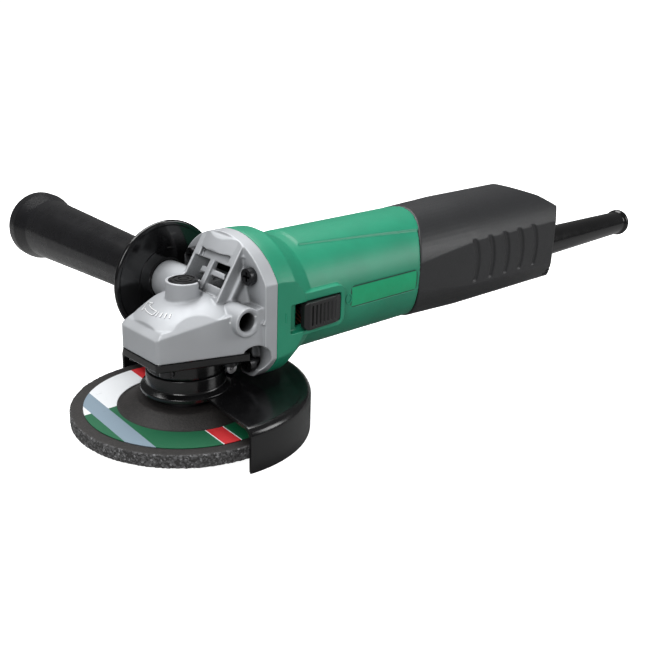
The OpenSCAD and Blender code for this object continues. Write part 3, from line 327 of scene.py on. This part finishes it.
def moulded(name, color, grain_mm, grain_depth_mm, rough, edge_wear_and_sheen=1.25, speckle=0.0, shade=None):
    """Moulded plastic with a spark-eroded texture, and edges lightened where worn and by a painted highlight.

    The argument after rough sets how much lighter the edges are, speckle the share of light
    grains, and shade the reach and range of openness() for a painted shade in its recesses.
    """
    g = Graph(name)
    tone = g.mix(g.cloud(18), shaded(color, 0.92), shaded(color, 1.05))
    grain = g.noise(grain_mm, 3, 0.6)
    if speckle:
        spots = g.span(g.noise(grain_mm * 1.3, 2, 0.7), 0.55, 0.75, 0, speckle)
        tone = g.mix(spots, tone, shaded(color, 2.4))
    # Edges lightened where worn and by a painted highlight.
    tone = g.mix(g.math("MULTIPLY", g.edges(), 0.5), tone, shaded(color, edge_wear_and_sheen))
    # Painted shade: recesses darkened by ambient occlusion.
    if shade:
        tone = g.mix(g.openness(*shade), shaded(color, 0.12), tone)
    roughness = g.span(grain, 0.3, 0.7, rough - 0.05, rough + 0.06)
    return g.done(tone, roughness, g.bump(grain, grain_depth_mm, 0.7))


def gloss_black(name, rough, ripple=0.0, color=(0.004, 0.004, 0.0044)):
    """Smooth black plastic or enamel, with faint handling marks in its gloss."""
    g = Graph(name)
    marks = g.noise(9, 5, 0.65)
    tone = g.mix(g.cloud(22), shaded(color, 0.85), shaded(color, 1.25))
    roughness = g.span(marks, 0.35, 0.7, rough - 0.03, rough + 0.07)
    return g.done(tone, roughness, g.bump(g.noise(1.6, 2), 0.004 + ripple, 0.5))


def machined(name, color, rough):
    """Turned or ground metal with fine tool marks."""
    g = Graph(name)
    lines = g.noise(0.25, 3, 0.6, stretch=(1, 1, 0.15))
    tone = g.mix(g.cloud(4), shaded(color, 0.85), color)
    tone = g.mix(g.math("MULTIPLY", g.edges(), 0.4), tone, shaded(color, 1.3))
    roughness = g.span(lines, 0.3, 0.7, rough - 0.06, rough + 0.1)
    return g.done(tone, roughness, g.bump(lines, 0.008, 0.5), metallic=1.0)


def abrasive():
    """Pressed, smooth faces, and a cut edge that shows pale grit."""
    g = Graph("wheel_abrasive")
    x, y, _ = g.axes()
    radius = g.math("SQRT", g.math("ADD", g.math("MULTIPLY", x, x), g.math("MULTIPLY", y, y)))
    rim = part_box("grinding_wheel")[1].x
    cut = g.span(radius, rim - 0.9 * MM, rim - 0.35 * MM, 0, 1)
    pick = g.add("ShaderNodeSeparateColor")
    g.link(g.cells(0.75, output="Color"), pick.inputs[0])
    grey_grain = g.span(pick.outputs[0], 0.4, 1.0, 0, 1)
    face = g.mix(grey_grain, (0.011, 0.0095, 0.009), (0.019, 0.016, 0.015))
    pale_grain = g.span(pick.outputs[1], 0.35, 1.0, 0, 1)
    edge = g.mix(pale_grain, (0.03, 0.029, 0.029), (0.115, 0.115, 0.118))
    bright_grain = g.span(pick.outputs[2], 0.9, 0.97, 0, 0.6)
    edge = g.mix(bright_grain, edge, (0.3, 0.3, 0.31))
    tone = g.mix(cut, face, edge)
    grain = g.noise(0.8, 4, 0.7)
    bump = g.bump(g.cells(0.7), 0.1, 0.7, g.bump(grain, 0.08, 0.7))
    return g.done(tone, g.span(cut, 0, 1, 0.62, 0.85), bump)


LABEL_GREEN = (0.003, 0.105, 0.042)
LABEL_BAND = (0.2, 0.27, 0.33)
LABEL_WHITE = (0.72, 0.74, 0.76)
LABEL_RED = (0.55, 0.02, 0.025)
# Stripes of the label, in mm from the spindle's axis. They lean by LABEL_LEAN from the y axis.
LABEL_LEAN = 0.085
BAND = (-39.8, -31.7)
WHITE_PANEL = (-31.7, -4.5)
FAR_BAR = (-4.5, 3.5)
NEAR_BAR = (-7.6, -0.2)
NEAR_BAR_EDGE = 0.5
FAR_SIDE_Y = 14.4
TIP_Y = 14.6


def printed_label():
    """Plain colour blocks: a blue-grey band, a white panel and two red bars on green."""
    g = Graph("label_paper")
    across, along, _ = g.axes()
    x = g.math("MULTIPLY", across, 1 / MM)
    y = g.math("MULTIPLY", along, 1 / MM)
    slanted = g.math("SUBTRACT", x, g.math("MULTIPLY", y, LABEL_LEAN))

    def between(low, high):
        above = g.math("GREATER_THAN", slanted, low)
        return g.math("MULTIPLY", above, g.math("LESS_THAN", slanted, high))

    far = g.math("GREATER_THAN", y, FAR_SIDE_Y)
    near = g.math("LESS_THAN", y, 0)
    ink = g.mix(g.math("MULTIPLY", between(*WHITE_PANEL), far), LABEL_GREEN, LABEL_WHITE)
    bar_edge = between(NEAR_BAR[0] - NEAR_BAR_EDGE, NEAR_BAR[1] + NEAR_BAR_EDGE)
    ink = g.mix(g.math("MULTIPLY", bar_edge, near), ink, LABEL_WHITE)
    far_bar = g.math("MULTIPLY", between(*FAR_BAR), far)
    near_bar = g.math("MULTIPLY", between(*NEAR_BAR), near)
    ink = g.mix(g.math("MAXIMUM", far_bar, near_bar), ink, LABEL_RED)
    ink = g.mix(between(*BAND), ink, LABEL_BAND)
    past_band = g.math("LESS_THAN", slanted, BAND[0])
    tip = g.math("MULTIPLY", past_band, g.math("GREATER_THAN", y, TIP_Y))
    ink = g.mix(tip, ink, LABEL_WHITE)
    worn = g.span(g.noise(2.2, 5, 0.7), 0.62, 0.74, 0, 0.25)
    ink = g.mix(worn, ink, (0.06, 0.055, 0.05))
    return g.done(ink, 0.55, g.bump(g.noise(0.5, 4, 0.7), 0.05, 0.5))


def plate_film():
    """A bright green plate with a dark line round its edge."""
    g = Graph("plate_film")
    low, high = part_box("nameplate")
    place = g.axes()
    inside = []
    for axis in (0, 2):
        middle = (low[axis] + high[axis]) / 2
        off = g.math("ABSOLUTE", g.math("SUBTRACT", place[axis], middle))
        inside.append(g.math("SUBTRACT", (high[axis] - low[axis]) / 2, off))
    past_line = g.span(g.math("MINIMUM", *inside), 0.55 * MM, 0.8 * MM, 0, 1)
    film = g.mix(g.cloud(6), (0.0, 0.33, 0.14), (0.0, 0.38, 0.165))
    tone = g.mix(past_line, (0.002, 0.05, 0.03), film)
    rough = g.span(g.noise(3, 3), 0.3, 0.7, 0.3, 0.4)
    return g.done(tone, rough, g.bump(g.noise(0.9, 3), 0.006, 0.7))


def copper():
    """Wound enamelled wire."""
    g = Graph("copper")
    wires = g.add("ShaderNodeTexWave", wave_type="BANDS", bands_direction="DIAGONAL")
    wires.inputs["Scale"].default_value = 300
    g.link(g.place, wires.inputs["Vector"])
    tone = g.mix(wires.outputs["Fac"], (0.3, 0.1, 0.04), (0.72, 0.32, 0.15))
    return g.done(tone, 0.35, g.bump(wires.outputs["Fac"], 0.15, 0.8), metallic=0.9)


def laminated():
    """Stacked steel sheets."""
    g = Graph("lamination")
    sheets = g.add("ShaderNodeTexWave", wave_type="BANDS", bands_direction="X")
    sheets.inputs["Scale"].default_value = 330
    sheets.inputs["Distortion"].default_value = 0.6
    g.link(g.place, sheets.inputs["Vector"])
    tone = g.mix(sheets.outputs["Fac"], (0.12, 0.12, 0.125), (0.36, 0.36, 0.37))
    return g.done(tone, 0.42, g.bump(sheets.outputs["Fac"], 0.06, 0.8), metallic=0.9)


GREEN = (0.012, 0.25, 0.14)
DARK_GREY = (0.0155, 0.016, 0.0175)

looks = {
    "cast_aluminium": cast_aluminium(),
    "black_steel": gloss_black("black_steel", 0.2),
    "screw_steel": machined("screw_steel", (0.5, 0.5, 0.51), 0.32),
    "black_screw": machined("black_screw", (0.05, 0.05, 0.052), 0.34),
    "bearing_steel": machined("bearing_steel", (0.62, 0.62, 0.64), 0.16),
    "spring_steel": machined("spring_steel", (0.5, 0.5, 0.52), 0.3),
    "gear_steel": machined("gear_steel", (0.4, 0.4, 0.41), 0.34),
    "button_plastic": moulded("button_plastic", (0.01, 0.01, 0.0105), 0.6, 0.02, 0.34),
    "seal_rubber": moulded("seal_rubber", (0.02, 0.02, 0.02), 0.8, 0.03, 0.7),
    "wheel_abrasive": abrasive(),
    "label_paper": printed_label(),
    # Painted shade in the green housing's slots and recesses.
    "green_nylon": moulded("green_nylon", GREEN, 0.42, 0.028, 0.44, shade=(5, 0.2, 0.6)),
    "plate_film": plate_film(),
    # Tail cover: edges 2.4 times lighter as a painted highlight and where worn, and painted shade in its grooves
    # and slots.
    "dark_nylon": moulded("dark_nylon", DARK_GREY, 0.5, 0.06, 0.46, 2.4, 0.5, (3.5, 0.6, 0.97)),
    "gloss_black": gloss_black("gloss_black", 0.16),
    "grip_plastic": gloss_black("grip_plastic", 0.27, 0.004, (0.0045, 0.0045, 0.0055)),
    "shield_plastic": gloss_black("shield_plastic", 0.12),
    "knob_plastic": moulded("knob_plastic", (0.009, 0.009, 0.0095), 0.7, 0.012, 0.36),
    "lamination": laminated(),
    "copper": copper(),
    "brass_part": machined("brass_part", (0.62, 0.44, 0.17), 0.3),
    "carbon": moulded("carbon", (0.02, 0.02, 0.021), 0.5, 0.02, 0.6),
    "cap_film": moulded("cap_film", (0.5, 0.36, 0.05), 1.2, 0.02, 0.45),
    "lead_cover": moulded("lead_cover", (0.03, 0.05, 0.2), 1.0, 0.02, 0.5),
}
slot_of = {part["node"]: part["material_slot"] for part in frame["record"]["subparts"]}


# ---------- CAD nodes that stay ----------
def dress(node):
    """Gives a CAD node its slot's material."""
    mesh = nodes[node].data
    mesh.materials.clear()
    mesh.materials.append(looks[slot_of[node]])


def soften(node, voxel_mm, passes):
    """Rounds a CAD node's edges, as a casting's or moulding's are."""
    remesh = nodes[node].modifiers.new("skin", "REMESH")
    remesh.mode = "VOXEL"
    remesh.voxel_size = voxel_mm * MM
    remesh.use_smooth_shade = True
    smooth = nodes[node].modifiers.new("round", "SMOOTH")
    smooth.factor = 0.5
    smooth.iterations = passes


for node in nodes:
    dress(node)
soften("gear_cover", voxel_mm=0.35, passes=6)
soften("motor_housing", voxel_mm=0.4, passes=5)
soften("tail_cover", voxel_mm=0.38, passes=4)
soften("bearing_retainer", voxel_mm=0.35, passes=3)
soften("switch_knob", voxel_mm=0.2, passes=2)


# ---------- side handle ----------
def grip():
    """Handle that widens slowly to a knob with a dished end."""
    low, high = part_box("handle_grip")
    length = (high.y - low.y) / MM
    knob = (high.x - low.x) / 2 / MM
    neck = knob - 5
    end = knob - 2.2
    dish = length - 1
    outline = rounded([
        (0, 0, 0),
        (neck - 0.2, 0, 1.2),
        (neck + 0.4, length * 0.3, 40),
        (end, length - 17, 6),
        (knob, length - 8, 5),
        (knob - 0.2, length, 5.5),
        (knob - 6, length, 2),
        (knob - 7.5, dish, 1),
        (0, dish, 0),
    ], 10)
    flats = 8
    knob_start = length - 20
    fade_length, foot_fade = 12, 4

    def facets(r, h, angle):
        """Eight faint flats along the grip, which fade out at its knob."""
        fade = max(0.0, min(1.0, (knob_start - h) / fade_length, h / foot_fade))
        turn = (angle * flats / (2 * math.pi)) % 1 - 0.5
        flat = math.cos(math.pi / flats * 0.55) / math.cos(turn * 2 * math.pi / flats)
        return r * (1 + fade * (min(1.0, flat) - 1))

    foot = (HANDLE_AXIS.x, low.y, HANDLE_AXIS.z)
    bm = lathe_mesh(outline, "y", foot, 192, radius_at=facets)
    piece = finished("handle_grip_shell", bm, "side_handle", "grip_plastic", sharp_deg=30)
    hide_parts("handle_grip")


def shield():
    """Thin disc with a hub face and a thicker rim."""
    low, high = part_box("hand_shield")
    rim = (high.x - low.x) / 2 / MM
    depth = (high.y - low.y) / MM
    bore = 4.3
    outline = rounded([
        (bore, 0, 0),
        (9.5, 0, 0.3),
        (10, 0.35, 0.3),
        (rim - 2.6, 0.35, 0.4),
        (rim - 2.0, 0, 0.4),
        (rim - 0.5, 0, 0.8),
        (rim, depth * 0.5, 0.9),
        (rim - 0.6, depth, 0.8),
        (rim - 2, depth, 0.8),
        (rim - 2.4, depth - 0.5, 0.5),
        (bore, depth - 0.5, 0),
    ])
    bm = lathe_mesh(outline, "y", (HANDLE_AXIS.x, low.y, HANDLE_AXIS.z), 192)
    piece = finished("hand_shield_disc", bm, "shield", "shield_plastic")
    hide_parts("hand_shield")


# ---------- cord guard ----------
def cord_sleeve():
    """Tapered sleeve with a flange that the tail cover holds, and a bead at its end."""
    low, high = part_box("cord_guard")
    axis_z = (low.z + high.z) / 2
    tail_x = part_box("tail_cover")[1].x
    inside = (low.x - tail_x) / MM
    length = (high.x - tail_x) / MM
    bore, neck, flange = 3.8, 7.5, 10.1
    flange_end = inside + 3.8
    outline = rounded([
        (bore, inside, 0),
        (flange, inside, 0.4),
        (flange, flange_end, 0.4),
        (neck, flange_end, 0),
        (neck, -0.1, 0),
        (9.2, -0.1, 0.8),
        (8.6, 3.5, 2),
        (7.0, length - 7, 12),
        (6.9, length - 4.6, 1.5),
        (8, length - 3, 1.2),
        (8, length - 0.9, 1.1),
        (6.4, length, 1.0),
        (bore, length, 0.8),
    ], 8)
    bm = lathe_mesh(outline, "x", (tail_x, 0, axis_z), 96)
    piece = finished("cord_guard_sleeve", bm, "grinder", "gloss_black")
    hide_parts("cord_guard")


# ---------- grinding wheel ----------
def abrasive_wheel():
    """Wheel with a depressed centre, smooth faces and a gritty cut edge."""
    low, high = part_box("grinding_wheel")
    rim = high.x / MM
    label_low, label_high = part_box("wheel_label")
    label_top = label_low.z / MM
    label_out = label_high.x / MM
    thick = 6
    bore = 8
    hub_top = high.z / MM
    rim_bottom = low.z / MM
    outline = rounded([
        (bore, hub_top - thick, 0),
        (rim * 0.41, hub_top - thick, 3),
        (rim * 0.56, rim_bottom, 3),
        (rim, rim_bottom, 0.7),
        (rim, label_top, 0.7),
        (rim * 0.575, label_top, 3),
        (rim * 0.435, hub_top, 3),
        (bore, hub_top, 0),
    ])
    bm = lathe_mesh(resampled(outline, 0.55), "z", (0, 0, 0), 560)
    bm.normal_update()
    bmesh.ops.recalc_face_normals(bm, faces=bm.faces)
    bm.normal_update()
    coarse_mm, fine_mm = 1.1, 0.55
    edge_roughness, face_roughness = 1.5, 0.15
    most_out, label_gap = 0.1, -0.12
    for vert in bm.verts:
        r = math.hypot(vert.co.x, vert.co.y) / MM
        h = vert.co.z / MM
        coarse = noise.noise(vert.co / (coarse_mm * MM))
        fine = noise.noise(vert.co / (fine_mm * MM))
        grit = 0.16 * coarse + 0.1 * fine
        depth = edge_roughness if r > rim - 0.8 else face_roughness
        shift = min(grit * depth - 0.05, most_out)
        if h > label_top - 0.2 and 0.57 * rim < r < label_out + 0.4:
            shift = label_gap
        vert.co += vert.normal * (shift * MM)
    piece = finished("abrasive_wheel", bm, "spindle_group", "wheel_abrasive", sharp_deg=75)
    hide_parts("grinding_wheel")


# ---------- wheel guard ----------
def guard():
    """Pressed sheet over half of the wheel, a split collar, and two ears for its screw."""
    low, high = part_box("wheel_guard")
    skirt = high.y / MM
    half_angle, middle = 93, -4
    sheet = 1.5
    bottom = low.z / MM
    top = bottom + 19.5
    collar_in, collar_out, collar_top = 15.64, 17.2, 22.1
    foot = collar_out + 2.5
    edge = 0.5
    outline = rounded([
        (collar_in + 0.5, top - sheet, 0),
        (skirt - sheet, top - sheet, 2.6),
        (skirt - sheet, bottom, edge),
        (skirt, bottom, edge),
        (skirt, top, 4.0),
        (collar_in + 0.5, top, 0),
    ], 8)
    start = middle - half_angle
    bm = lathe_mesh(outline, "z", (0, 0, 0), 160, start, 2 * half_angle)
    ends = [face for face in bm.faces if len(face.verts) > 4]
    rims = list(dict.fromkeys(edge for face in ends for edge in face.edges))
    bevel = 0.25 * MM
    bmesh.ops.bevel(bm, geom=rims, offset=bevel, segments=2, profile=0.5, affect="EDGES")
    piece = finished("guard_sheet", bm, "guard", "black_steel")
    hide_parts("wheel_guard")
    collar = rounded([
        (collar_in, top - sheet, 0),
        (foot, top - sheet, 0.3),
        (foot, top + 0.2, 0.5),
        (collar_out, top + 1.8, 1.2),
        (collar_out, collar_top, 0.4),
        (collar_in, collar_top, 0.3),
    ])
    slit = math.degrees(1 / collar_out)
    bm = lathe_mesh(collar, "z", (0, 0, 0), 144, slit, 360 - 2 * slit)
    finished("guard_collar", bm, "guard", "black_steel")
    bm = bmesh.new()
    ear_in, ear_out = 1, 4
    for side in (-1, 1):
        near, far = sorted((side * ear_in, side * ear_out))
        low_corner = Vector((collar_in + 0.6, near, top - 0.4)) * MM
        high_corner = Vector((collar_out + 6, far, collar_top - 0.8)) * MM
        block(bm, low_corner, high_corner, 0.6)
    finished("guard_ears", bm, "guard", "black_steel")


grip()
shield()
cord_sleeve()
abrasive_wheel()
guard()


# ---------- marks ----------
def strip(bm, path, width_mm, thick_mm):
    """Adds a raised strip along a path of (point, normal) pairs, in metres."""
    sunk = -0.3 * MM
    rings = []
    for i, (point, normal) in enumerate(path):
        before = path[max(i - 1, 0)][0]
        after = path[min(i + 1, len(path) - 1)][0]
        side = (after - before).cross(normal).normalized() * (width_mm / 2 * MM)
        lift = normal * (thick_mm * MM)
        foot = normal * sunk
        crown = side * 0.7
        ring = [side + foot, crown + lift, lift - crown, foot - side]
        rings.append([bm.verts.new(point + co) for co in ring])
    for one, other in zip(rings, rings[1:]):
        for k in range(4):
            n = (k + 1) % 4
            bm.faces.new((one[k], one[n], other[n], other[k]))
    bm.faces.new(rings[0])
    bm.faces.new(list(reversed(rings[-1])))


# The crowned top of the gear cover, a sphere, in mm. Its top stands above the motor's axis.
DOME_X, DOME_R, DOME_TOP = 5, 39, 10.5


def turn_arrow():
    """Raised arrow for the way that the wheel turns, on the crowned top of the gear cover."""
    centre = Vector((DOME_X, 0, DOME_TOP - DOME_R)) * MM + Vector((0, 0, MOTOR_Z))

    def on_top(r, degrees):
        x = r * math.cos(math.radians(degrees)) - DOME_X
        y = r * math.sin(math.radians(degrees))
        normal = Vector((x, y, math.sqrt(DOME_R ** 2 - x * x - y * y))).normalized()
        return centre + normal * (DOME_R * MM), normal

    def arc(start, end, r):
        steps = max(2, round(abs(end - start) / 4))
        return [on_top(r, start + (end - start) * k / steps) for k in range(steps + 1)]

    width, thick = 0.5, 0.35
    inner, outer, middle, barb = 14.2, 16.2, 15.2, 1.4
    tail, neck, tip = -176, -208, -225
    first_dash, dash_step, dashes = -170, 8, 4
    bm = bmesh.new()
    for r in (inner, outer):
        strip(bm, arc(tail, neck, r), width, thick)
    strip(bm, [on_top(r, tail) for r in (inner, outer)], width, thick)
    head = [(inner, neck), (inner - barb, neck), (middle, tip)]
    head += [(outer + barb, neck), (outer, neck)]
    for one, other in zip(head, head[1:]):
        strip(bm, [on_top(*one), on_top(*other)], width, thick)
    for k in range(dashes):
        strip(bm, [on_top(r, first_dash + dash_step * k) for r in (inner, outer)], width, thick)
    finished("turn_arrow", bm, "grinder", "cast_aluminium")


def switch_marks():
    """A bar and a ring beside the switch, for on and off."""
    bell_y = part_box("motor_housing")[0].y
    core_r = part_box("stator_core")[1].z - MOTOR_Z
    barrel_y = -core_r - 3.55 * MM
    bar_x, bar_half, bar_thick = 31.8, 2.2, 0.25
    ring_x, ring_half_x, ring_half_z, ring_thick = 70.5, 1.7, 2.2, 0.3
    width, steps = 0.7, 24
    level = MOTOR_Z + 0.5 * MM
    outward = Vector((0, -1, 0))
    bm = bmesh.new()
    bar = [Vector((bar_x * MM, bell_y, level + dz * MM)) for dz in (-bar_half, bar_half)]
    strip(bm, [(point, outward) for point in bar], width, bar_thick)
    ring = []
    for k in range(steps + 1):
        a = 2 * math.pi * k / steps
        x = (ring_x + ring_half_x * math.cos(a)) * MM
        ring.append((Vector((x, barrel_y, level + ring_half_z * math.sin(a) * MM)), outward))
    strip(bm, ring, width, ring_thick)
    finished("switch_marks", bm, "grinder", "green_nylon")


def shield_rib():
    """A thin raised arch on the shield's near face, round the handle's boss."""
    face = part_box("hand_shield")[0].y + 0.3 * MM
    near = Vector((0, -1, 0))
    reach, leg, steps = 14.5, 12, 20
    width, thick = 0.7, 0.3

    def at(across, up):
        place = Vector((HANDLE_AXIS.x, face, HANDLE_AXIS.z))
        return place + Vector((across, 0, up)) * MM, near

    path = [at(-reach, -leg)]
    for k in range(steps + 1):
        a = math.pi * (1 - k / steps)
        path.append(at(reach * math.cos(a), reach * math.sin(a)))
    path.append(at(reach, -leg))
    bm = bmesh.new()
    strip(bm, path, width, thick)
    finished("shield_rib", bm, "shield", "shield_plastic")


turn_arrow()
switch_marks()
shield_rib()


# ---------- studio ----------
WHITE = (1, 1, 1)


def floor():
    """Pale floor under the lowest point. The camera sees it near white, and it lights little."""
    half = 14
    level = CAD_BOX[0][2]
    bm = bmesh.new()
    corners = [(-half, -half), (half, -half), (half, half), (-half, half)]
    bm.faces.new([bm.verts.new((x, y, level)) for x, y in corners])
    mesh = bpy.data.meshes.new("floor")
    bm.to_mesh(mesh)
    bm.free()
    ground = bpy.data.objects.new("floor", mesh)
    bpy.context.scene.collection.objects.link(ground)
    g = Graph("floor")
    seen = g.add("ShaderNodeLightPath").outputs["Is Camera Ray"]
    paper = g.mix(g.noise(900, 2), (0.9, 0.9, 0.9), (0.93, 0.93, 0.93))
    g.done(g.mix(seen, (0.3, 0.3, 0.3), paper), 0.95)
    g.put(g.shader.inputs["Emission Color"], WHITE)
    g.put(g.shader.inputs["Emission Strength"], g.math("MULTIPLY", seen, 0.95))
    ground.data.materials.append(g.material)


def softbox(name, place, target, size, watts):
    """A soft rectangular light that faces a target."""
    lamp = bpy.data.lights.new(name, "AREA")
    lamp.shape = "RECTANGLE"
    lamp.size, lamp.size_y = size
    lamp.energy = watts
    holder = bpy.data.objects.new(name, lamp)
    bpy.context.scene.collection.objects.link(holder)
    holder.location = place
    holder.rotation_euler = (Vector(target) - Vector(place)).to_track_quat("-Z", "Y").to_euler()


def studio():
    """Three soft lights and a world that is white to the camera and dim to the object."""
    dim, white = 0.14, 1.0
    middle = Vector((0.08, 0.02, 0.03))
    softbox("top_light", (0.05, 0.3, 0.95), middle, size=(1.1, 0.6), watts=13)
    softbox("front_light", (-0.9, -0.6, 0.7), middle, size=(0.5, 0.6), watts=9)
    softbox("right_light", (0.9, -0.9, 0.55), middle, size=(0.5, 0.5), watts=6)
    world = bpy.data.worlds.new("studio")
    bpy.context.scene.world = world
    world.use_nodes = True
    tree = world.node_tree
    back = tree.nodes["Background"]
    back.inputs["Color"].default_value = (*WHITE, 1)
    seen = tree.nodes.new("ShaderNodeLightPath").outputs["Is Camera Ray"]
    level = tree.nodes.new("ShaderNodeMapRange")
    level.inputs["To Min"].default_value = dim
    level.inputs["To Max"].default_value = white
    tree.links.new(seen, level.inputs["Value"])
    tree.links.new(level.outputs["Result"], back.inputs["Strength"])
    bpy.context.scene.view_settings.view_transform = "Standard"


def camera():
    """Stands left of the gear head and above it, looking along the body."""
    lens = bpy.data.cameras.new("camera")
    lens.sensor_width = 36
    lens.lens = 52.8
    lens.shift_x = 0.0487
    lens.shift_y = 0.0099
    lens.clip_start = 0.01
    eye = bpy.data.objects.new("camera", lens)
    bpy.context.scene.collection.objects.link(eye)
    yaw, pitch, roll = 0.719, 0.362, 0.020
    level_ahead = Vector((math.sin(yaw), math.cos(yaw), 0))
    ahead = level_ahead * math.cos(pitch) - Vector((0, 0, math.sin(pitch)))
    right = Vector((math.cos(yaw), -math.sin(yaw), 0))
    up = right.cross(ahead)
    turned_right = right * math.cos(roll) + up * math.sin(roll)
    turned_up = up * math.cos(roll) - right * math.sin(roll)
    turn = Matrix((turned_right, turned_up, -ahead)).transposed()
    place = Vector((-0.2149, -0.3157, 0.1377 + MOTOR_Z))
    eye.matrix_world = Matrix.Translation(place) @ turn.to_4x4()
    bpy.context.scene.camera = eye


floor()
studio()
camera()
